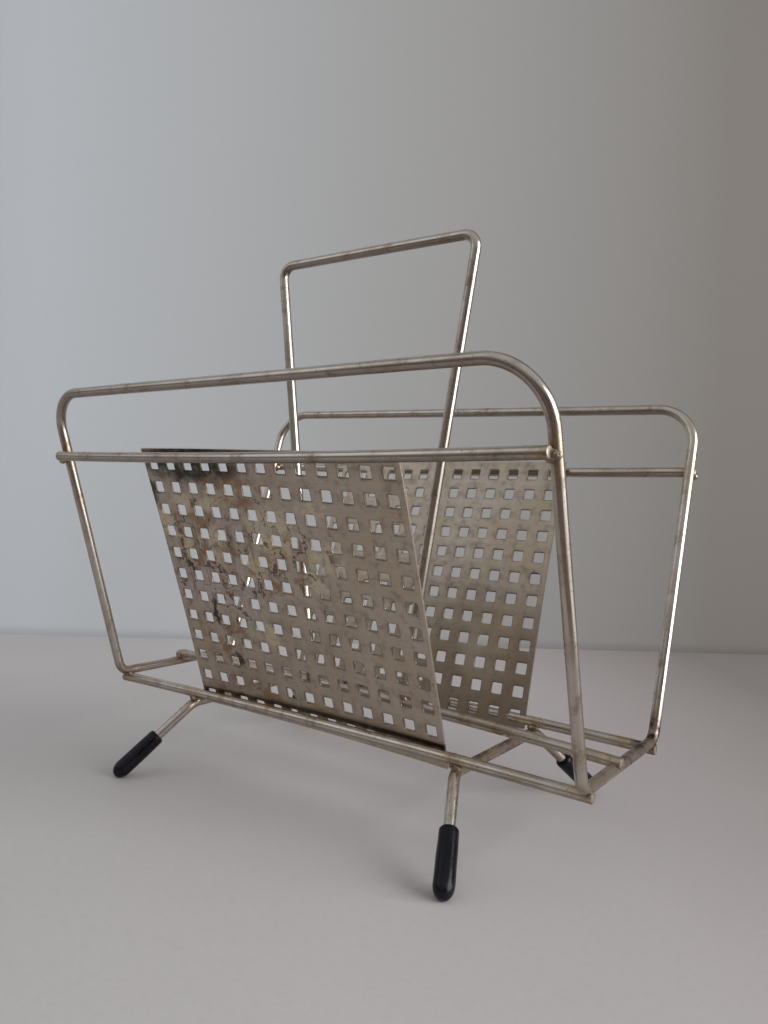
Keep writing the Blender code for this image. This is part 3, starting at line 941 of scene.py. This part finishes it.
# ---- caps -------------------------------------------------------------------------------
def cap_profile():
    """Half section of a cap, from the bore's floor up, over the lip and down to the round tip."""
    bore_r = CAP_BORE_D / 2
    bore_floor = CAP_END_WALL - CAP_R
    lip_z = CAP_LENGTH - CAP_R
    points = [(0.0, bore_floor), (bore_r, bore_floor), (bore_r, lip_z - CAP_BORE_RING_DEPTH),
              (bore_r, lip_z - CAP_INNER_LIP_R)]
    for step in range(1, 5):
        angle = math.pi / 2 * step / 4
        points.append((bore_r + CAP_INNER_LIP_R * (1 - math.cos(angle)),
                       lip_z - CAP_INNER_LIP_R * (1 - math.sin(angle))))
    shoulder_z = lip_z - CAP_SHOULDER_R
    top_r = CAP_R * (1 - CAP_TAPER)
    for step in range(9):
        angle = math.pi / 2 * (1 - step / 8)
        points.append((top_r - CAP_SHOULDER_R + CAP_SHOULDER_R * math.cos(angle),
                       shoulder_z + CAP_SHOULDER_R * math.sin(angle)))
    for step in range(1, 16):
        t = step / 16
        height = shoulder_z + (CAP_TIP_STRETCH - shoulder_z) * t
        points.append((top_r + (CAP_R - top_r) * math.sin(math.pi / 2 * t), height))
    for step in range(17):
        angle = -math.pi / 2 * step / 16
        points.append((CAP_R * math.cos(angle),
                       CAP_TIP_STRETCH + (CAP_R + CAP_TIP_STRETCH) * math.sin(angle)))
    points[-1] = (0.0, -CAP_R)
    return points


def make_cap(name, side_x, side_y, seed):
    """A dipped rubber cap: turned form, slightly lumpy, worn flat where it stands."""
    tip = foot_tip(side_x, side_y)
    axis = (foot_top(side_x, side_y) - tip).normalized()
    first = axis.orthogonal().normalized()
    second = axis.cross(first)
    vertices, local_places, rings = [], [], []
    for radius, height in cap_profile():
        steps = 1 if radius == 0.0 else CAP_SIDES
        ring = []
        for step in range(steps):
            angle = 2 * math.pi * step / CAP_SIDES
            around = first * math.cos(angle) + second * math.sin(angle)
            point = tip + axis * height + around * radius
            lump = CAP_LUMP * noise.noise(point * CAP_LUMP_SCALE + Vector((seed * 3.3, 0.0, seed)))
            outward = around if radius > CAP_BORE_D / 2 else Vector()
            point = point + outward * lump
            point.z = max(point.z, 0.0)
            ring.append(len(vertices))
            vertices.append(point)
            local_places.append((math.cos(angle) * radius + seed, math.sin(angle) * radius,
                                 height))
        rings.append(ring)
    faces = joined_rings(rings, CAP_SIDES)
    piece = make_piece(name, vertices, faces, [RUBBER], replaced=name)
    store_vectors(piece.data, "wire", [local_places[v] for face in faces for v in face])
    return piece


# ---- perforated panels ------------------------------------------------------------------
class PanelPlace:
    """Where a panel stands: its own X along the rack, Y up the slope, and Z out of its face."""

    def __init__(self, side, x_offset, drop, skew, inset, lean_change, bow, seed):
        rail_inset = WIRE_R + PANEL_GAP + PANEL_T / 2 + inset
        top_contact_z = UPPER_RAIL_Z - UPPER_RAIL_SAG / 2
        low_contact_z = BOTTOM_RAIL_Z + BOTTOM_RAIL_RISE
        lean = math.atan2(UPPER_RAIL_Y - BOTTOM_RAIL_Y, top_contact_z - low_contact_z)
        contact_y = BOTTOM_RAIL_Y - rail_inset * math.cos(lean)
        contact_z = low_contact_z + rail_inset * math.sin(lean)
        self.corner = Vector((x_offset, side * (contact_y - drop * math.sin(lean)),
                              contact_z - drop * math.cos(lean)))
        tilt = Matrix.Rotation(math.pi / 2 - side * (lean + lean_change), 3, "X")
        self.turn = tilt @ Matrix.Rotation(skew, 3, "Z")
        self.side = side
        self.bow = bow
        self.seed = seed

    def point(self, x, y, height):
        """World place of a point of the sheet. The bow pushes the middle towards the pocket."""
        across = x / BOW_SPAN_X
        up = (y - PANEL_HEIGHT / 2) / BOW_SPAN_Y
        outward = (self.bow[0] * (across * across - BOW_BALANCE)
                   + self.bow[1] * (up * up - BOW_BALANCE))
        ripple = noise.noise(Vector((x, y, 0.0)) * PANEL_RIPPLE_SCALE + Vector((self.seed, 0.0, 0.0)))
        bend = -self.side * outward + PANEL_RIPPLE * ripple
        return self.corner + self.turn @ Vector((x, y, height + bend))


def rounded_square(half, radius, steps):
    """Points of a square with rounded corners, anticlockwise from the right side's lower end."""
    points = []
    for quarter in range(4):
        turn = math.pi / 2 * quarter
        cosine, sine = math.cos(turn), math.sin(turn)
        for step in range(steps):
            angle = math.pi / 2 * step / (steps - 1)
            x = half - radius + radius * math.cos(angle)
            y = half - radius + radius * math.sin(angle)
            points.append((x * cosine - y * sine, x * sine + y * cosine))
    return points


class SheetMesh:
    """Collects the sheet's points, shared between cells, and its faces."""

    def __init__(self, place):
        self.place = place
        self.vertices, self.flat, self.rim = [], [], []
        self.faces = []
        self.known = {}

    def vertex(self, x, y, height, rim=0.0):
        key = (round(x * 1e6), round(y * 1e6), round(height * 1e7))
        if key not in self.known:
            self.known[key] = len(self.vertices)
            self.vertices.append(self.place.point(x, y, height))
            self.flat.append((x, y, height * SHEET_DEPTH_STRETCH))
            self.rim.append(rim)
        return self.known[key]

    def face(self, corners, flip):
        self.faces.append(tuple(reversed(corners)) if flip else tuple(corners))


def panel_cell(sheet, centre_x, centre_y, low_x, high_x, low_y, high_y, surface):
    """One face of the sheet round a hole, out to the cell's border. surface is the side's height."""
    half = HOLE_SIZE / 2
    steps = HOLE_CORNER_STEPS
    flip = surface < 0
    inward = 1.0 if flip else -1.0
    loops = []
    for grow, sink, rim in HOLE_RINGS:
        ring = rounded_square(half + grow, HOLE_CORNER_R + grow, steps)
        depth = surface + inward * sink
        loops.append([sheet.vertex(centre_x + x, centre_y + y, depth, rim) for x, y in ring])
    for inner, outer in zip(loops, loops[1:]):
        count = len(inner)
        for index in range(count):
            after = (index + 1) % count
            sheet.face((inner[index], outer[index], outer[after], inner[after]), flip)

    reach = half + HOLE_RIM
    inset = reach - (HOLE_CORNER_R + HOLE_RIM)
    corners = [(high_x, high_y), (low_x, high_y), (low_x, low_y), (high_x, low_y)]
    side_points = [
        ((high_x, centre_y + inset), (centre_x + inset, high_y)),
        ((centre_x - inset, high_y), (low_x, centre_y + inset)),
        ((low_x, centre_y - inset), (centre_x - inset, low_y)),
        ((centre_x + inset, low_y), (high_x, centre_y - inset)),
    ]
    rim_loop = loops[-1]
    starts, ends = [], []
    for quarter in range(4):
        (ax, ay), (bx, by) = side_points[quarter]
        cx, cy = corners[quarter]
        start = sheet.vertex(ax, ay, surface)
        corner = sheet.vertex(cx, cy, surface)
        end = sheet.vertex(bx, by, surface)
        arc = rim_loop[quarter * steps:(quarter + 1) * steps]
        sheet.face((arc[0], start, corner, arc[1]), flip)
        for index in range(1, steps - 2):
            sheet.face((arc[index], corner, arc[index + 1]), flip)
        sheet.face((arc[-2], corner, end, arc[-1]), flip)
        starts.append(start)
        ends.append(end)
    for quarter in range(4):
        following = (quarter + 1) % 4
        sheet.face((rim_loop[quarter * steps + steps - 1], ends[quarter], starts[following],
                    rim_loop[following * steps]), flip)
    return loops[0]


def make_panel(name, place, material):
    """A thin rolled sheet with rounded square holes in rows and columns."""
    sheet = SheetMesh(place)
    half_t = PANEL_T / 2
    for column in range(HOLE_COLUMNS):
        centre_x = (column - (HOLE_COLUMNS - 1) / 2) * HOLE_PITCH
        low_x, high_x = centre_x - HOLE_PITCH / 2, centre_x + HOLE_PITCH / 2
        for row in range(HOLE_ROWS):
            centre_y = (row + 0.5) * HOLE_PITCH
            low_y, high_y = row * HOLE_PITCH, (row + 1) * HOLE_PITCH
            if row == HOLE_ROWS - 1:
                high_y = PANEL_HEIGHT
            front, back = (panel_cell(sheet, centre_x, centre_y, low_x, high_x, low_y, high_y, face)
                           for face in (half_t, -half_t))
            count = len(front)
            for index in range(count):
                after = (index + 1) % count
                sheet.face((front[index], front[after], back[after], back[index]), False)
    close_sheet_border(sheet)
    piece = make_piece(name, sheet.vertices, sheet.faces, [material], replaced=name,
                       sharp=PANEL_SHARP, tolerance=PANEL_FIT_TOLERANCE)
    store_vectors(piece.data, "sheet", [sheet.flat[v] for face in sheet.faces for v in face])
    store_amounts(piece.data, "rim", sheet.rim)
    return piece


def close_sheet_border(sheet):
    """Joins the two faces along the outer edge of the sheet, where a face has no neighbour."""
    used = {}                  # a dict and not a set, because the order of the new faces follows it
    for face in sheet.faces:
        for index, start in enumerate(face):
            used[(start, face[(index + 1) % len(face)])] = True
    twins = {}
    for (x, y, height), vertex in sheet.known.items():
        twins[(x, y, height > 0)] = vertex
    place_of = {vertex: key for key, vertex in sheet.known.items()}
    for start, end in list(used):
        if (end, start) in used:
            continue
        if place_of[start][2] > 0 and place_of[end][2] > 0:
            below_start, below_end = (twins[(*place_of[v][:2], False)] for v in (start, end))
            sheet.faces.append((end, start, below_start, below_end))


# ---- the rack ---------------------------------------------------------------------------
WIRE = wire_finish()
CUT = cut_finish()
WELD = weld_finish()
RUBBER = rubber_finish()


def build_rack():
    make_wire("frame_loop", frame_path(), 1.0, closed=True)
    seed = 2.0
    for side_name, side in (("near", -1), ("far", 1)):
        make_wire(f"{side_name}_upper_rail", bowed_line(*upper_rail_ends(side), -UPPER_RAIL_SAG), seed)
        ends = [Vector((end * BOTTOM_RAIL_HALF_LENGTH, side * BOTTOM_RAIL_Y, BOTTOM_RAIL_Z))
                for end in (-1, 1)]
        make_wire(f"{side_name}_bottom_rail", bowed_line(*ends, BOTTOM_RAIL_RISE), seed + 1.0)
        seed += 2.0
    make_wire("centre_bottom_rail", centre_rail_path(), 6.0)
    make_wire("handle", handle_path(), 7.0)
    for end_name, side_x in (("left", -1), ("right", 1)):
        make_wire(f"{end_name}_leg_wire", leg_path(side_x), 8.0 + side_x)
        for side_name, side_y in (("near", -1), ("far", 1)):
            make_cap(f"{side_name}_{end_name}_foot_cap", side_x, side_y, 11.0 + side_x + 3 * side_y)
    make_welds("weld_beads")
    near_place = PanelPlace(-1, NEAR_PANEL_X, NEAR_PANEL_DROP, NEAR_PANEL_SKEW,
                            NEAR_PANEL_INSET, NEAR_PANEL_LEAN, NEAR_PANEL_BOW, 1.0)
    make_panel("near_panel", near_place, near_panel_finish())
    far_place = PanelPlace(1, FAR_PANEL_X, FAR_PANEL_DROP, FAR_PANEL_SKEW,
                           FAR_PANEL_INSET, FAR_PANEL_LEAN, FAR_PANEL_BOW, 5.0)
    make_panel("far_panel", far_place, far_panel_finish())


# ---- stage, light and camera ------------------------------------------------------------
CAMERA_PLACE = Vector((0.27106, -0.35679, 0.16625))
CAMERA_YAW = math.radians(35.797)
CAMERA_PITCH = math.radians(-1.692)
CAMERA_ROLL = math.radians(1.911)
CAMERA_LENS = 28.394
CAMERA_SENSOR = 36.0

WALL_FOOT = Vector((-0.1708, 0.3819, 0.0))     # a point on the line where table and wall meet
WALL_YAW = math.radians(37.6)                  # the wall runs along this direction
WALL_SIZE = (6.0, 3.0)
WALL_FOOT_SHADE = (-1.5, -1.488)               # a thin painted shade at the wall's lower edge
FLOOR_SIZE = 8.0
FLOOR_Z = -0.00002                             # just under the caps, so that it can't flicker

STAGE_TARGET = Vector((0.0, 0.0, 0.1))         # what the fill light and the standing flag face
CARD_Z = 0.0015
GROUND_FLAG_SIZE = (2.8, 2.4)
GROUND_FLAG_AWAY = 1.47
GROUND_FLAG_LEFT = 1.1
GLARE_CARD_SIZE = (1.15, 0.62)
GLARE_CARD_PLACE = Vector((1.0, 0.12, CARD_Z))
STANDING_FLAG_SIZE = (1.15, 0.62)
STANDING_FLAG_AZIMUTH = math.radians(-45)
STANDING_FLAG_Z = 0.12
WINDOW_AZIMUTH = math.radians(8)
WINDOW_DISTANCE = 1.5
WINDOW_HEIGHT = Vector((0.0, 0.0, 0.62))
WINDOW_LIGHT = (1.3, 1.2, 5.1, (0.95, 0.98, 1.0))      # width, height, radiance and colour
FILL_PLACE = Vector((-1.3, -1.2, 1.2))
FILL_LIGHT = (1.2, 1.2, 0.35, (0.93, 0.96, 1.0))
ROOM_RAMP = ((0.0, (0.15, 0.138, 0.128, 1.0)), (0.6, (0.50, 0.50, 0.505, 1.0)))


def make_camera():
    data = bpy.data.cameras.new("camera")
    data.lens = CAMERA_LENS
    data.sensor_width = CAMERA_SENSOR
    data.clip_start = 0.01
    camera = add_object("camera", data)
    turn = Matrix.Rotation(CAMERA_YAW, 4, "Z") @ Matrix.Rotation(math.pi / 2 + CAMERA_PITCH, 4, "X")
    roll = Matrix.Rotation(CAMERA_ROLL, 4, "Z")
    camera.matrix_world = Matrix.Translation(CAMERA_PLACE) @ turn @ roll
    bpy.context.scene.camera = camera


def make_card(name, width, height, matrix, material):
    """A flat rectangle of the stage, in its own XY plane."""
    mesh = bpy.data.meshes.new(name)
    x, y = width / 2, height / 2
    mesh.from_pydata([(-x, -y, 0), (x, -y, 0), (x, y, 0), (-x, y, 0)], [], [(0, 1, 2, 3)])
    mesh.materials.append(material)
    card = add_object(name, mesh)
    card.matrix_world = matrix
    return card


def floor_finish():
    """Pale painted table, with painted shade that darkens it towards its far right."""
    f = Finish("pale_floor")
    place = f.add("ShaderNodeTexCoord").outputs["Object"]
    broad = f.cloud(place, 3.0, 3.0)
    fine = f.cloud(place, 260.0, 4.0, 0.6)
    color = f.blend(f.between(broad, 0.35, 0.65), (0.610, 0.577, 0.572), (0.640, 0.604, 0.597))
    color = f.blend(f.between(fine, 0.45, 0.70, 0.0, 0.12), color, (0.46, 0.44, 0.43))
    # painted shade: darker towards the far right, where a shadow falls on the table
    to_shade = f.vector_math("DOT_PRODUCT", place, (0.8, 0.6, 0.0))
    shade = f.ramp(f.between(to_shade, 0.0, 0.35, smooth=False), (
        (0.0, (1.00, 1.00, 1.00)), (0.35, (0.90, 0.885, 0.88)), (0.80, (0.63, 0.605, 0.59)),
        (1.0, (0.50, 0.475, 0.465)),
    ))
    color = f.blend(1.0, color, shade, "MULTIPLY")
    return f.finish(color, 0.0, 0.62, f.bump(fine, 0.00006), Specular_IOR_Level=0.25)


def wall_finish():
    """Pale wall with painted light and shade: lighter and cooler to the left, darker to the right, with
    painted shade along its lower edge. It shows from the front only, so other views see past it.
    """
    f = Finish("pale_wall")
    place = f.add("ShaderNodeTexCoord").outputs["Object"]
    split = f.add("ShaderNodeSeparateXYZ", None, Vector=place)
    # painted light and shade: lighter and cooler to the left, darker to the right
    color = f.ramp(f.between(split.outputs["X"], -0.5, 0.5, smooth=False), (
        (0.06, (0.660, 0.690, 0.720)), (0.41, (0.430, 0.426, 0.420)),
        (0.78, (0.210, 0.190, 0.172)), (0.95, (0.180, 0.160, 0.145)),
    ))
    # painted shade along the wall's lower edge, where it meets the table
    foot = f.between(split.outputs["Y"], *WALL_FOOT_SHADE, 0.78, 1.0)
    grey = f.add("ShaderNodeCombineXYZ", None, X=foot, Y=foot, Z=foot)
    color = f.blend(1.0, color, grey.outputs[0], "MULTIPLY")
    f.put(f.shader.inputs["Base Color"], color)
    f.shader.inputs["Roughness"].default_value = 0.8
    geometry = f.add("ShaderNodeNewGeometry")
    clear = f.add("ShaderNodeBsdfTransparent")
    mix = f.tree.nodes.new("ShaderNodeMixShader")
    f.put(mix.inputs[0], geometry.outputs["Backfacing"])
    f.put(mix.inputs[1], f.shader.outputs[0])
    f.put(mix.inputs[2], clear.outputs[0])
    f.put(f.tree.nodes["Material Output"].inputs["Surface"], mix.outputs[0])
    return f.material


def dark_finish():
    """The dim room behind the camera, as reflections in the wires see it."""
    f = Finish("dark_flag")
    return f.finish((0.25, 0.195, 0.175), 0.0, 0.9, Specular_IOR_Level=0.0)


def glare_finish():
    """The glare of the window on the table, as reflections in the wires see it."""
    f = Finish("table_glare")
    return f.finish((0.0, 0.0, 0.0), 0.0, 0.9, Emission_Color=(1.0, 0.99, 0.97),
                    Emission_Strength=1.0)


def reflection_only(card):
    card.visible_camera = False
    card.visible_diffuse = False
    card.visible_shadow = False
    card.visible_transmission = False


def aim(place, target):
    """A matrix at a place whose -Z points to a target."""
    turn = (target - place).to_track_quat("-Z", "Y").to_matrix().to_4x4()
    return Matrix.Translation(place) @ turn


def add_area_light(name, place, target, width, height, radiance, color):
    data = bpy.data.lights.new(name, "AREA")
    data.shape = "RECTANGLE"
    data.size = width
    data.size_y = height
    data.energy = radiance * math.pi * width * height
    data.color = color
    light = add_object(name, data)
    light.matrix_world = aim(place, target)
    light.visible_camera = False


def make_world():
    world = bpy.data.worlds.new("room")
    world.use_nodes = True
    tree = world.node_tree
    background = tree.nodes["Background"]
    coordinates = tree.nodes.new("ShaderNodeTexCoord")
    split = tree.nodes.new("ShaderNodeSeparateXYZ")
    ramp = tree.nodes.new("ShaderNodeValToRGB")
    tree.links.new(coordinates.outputs["Generated"], split.inputs[0])
    tree.links.new(split.outputs["Z"], ramp.inputs["Fac"])
    for element, (position, color) in zip(ramp.color_ramp.elements, ROOM_RAMP):
        element.position = position
        element.color = color
    tree.links.new(ramp.outputs["Color"], background.inputs["Color"])
    background.inputs["Strength"].default_value = 1.0
    bpy.context.scene.world = world


def heading(azimuth):
    return Vector((math.cos(azimuth), math.sin(azimuth), 0.0))


def make_stage():
    make_card("floor", FLOOR_SIZE, FLOOR_SIZE, Matrix.Translation((0.0, 0.0, FLOOR_Z)), floor_finish())
    upright = Matrix.Rotation(WALL_YAW, 4, "Z") @ Matrix.Rotation(math.pi / 2, 4, "X")
    wall_place = Matrix.Translation(WALL_FOOT + UP * (WALL_SIZE[1] / 2)) @ upright
    make_card("wall", *WALL_SIZE, wall_place, wall_finish())

    dark = dark_finish()
    flag_middle = heading(CAMERA_YAW - math.pi / 2) * GROUND_FLAG_AWAY
    flag_middle += UP * CARD_Z - heading(CAMERA_YAW) * GROUND_FLAG_LEFT
    ground = Matrix.Translation(flag_middle) @ Matrix.Rotation(CAMERA_YAW, 4, "Z")
    reflection_only(make_card("dark_ground_flag", *GROUND_FLAG_SIZE, ground, dark))
    glare_place = Matrix.Translation(GLARE_CARD_PLACE)
    reflection_only(make_card("table_glare_card", *GLARE_CARD_SIZE, glare_place, glare_finish()))
    standing = aim(heading(STANDING_FLAG_AZIMUTH) + UP * STANDING_FLAG_Z, STAGE_TARGET)
    reflection_only(make_card("dark_standing_flag", *STANDING_FLAG_SIZE, standing, dark))

    window_place = heading(WINDOW_AZIMUTH) * WINDOW_DISTANCE + WINDOW_HEIGHT
    add_area_light("window", window_place, WINDOW_HEIGHT, *WINDOW_LIGHT)
    add_area_light("fill", FILL_PLACE, STAGE_TARGET, *FILL_LIGHT)
    make_world()
    bpy.context.scene.view_settings.view_transform = "Standard"


build_rack()
make_stage()
make_camera()
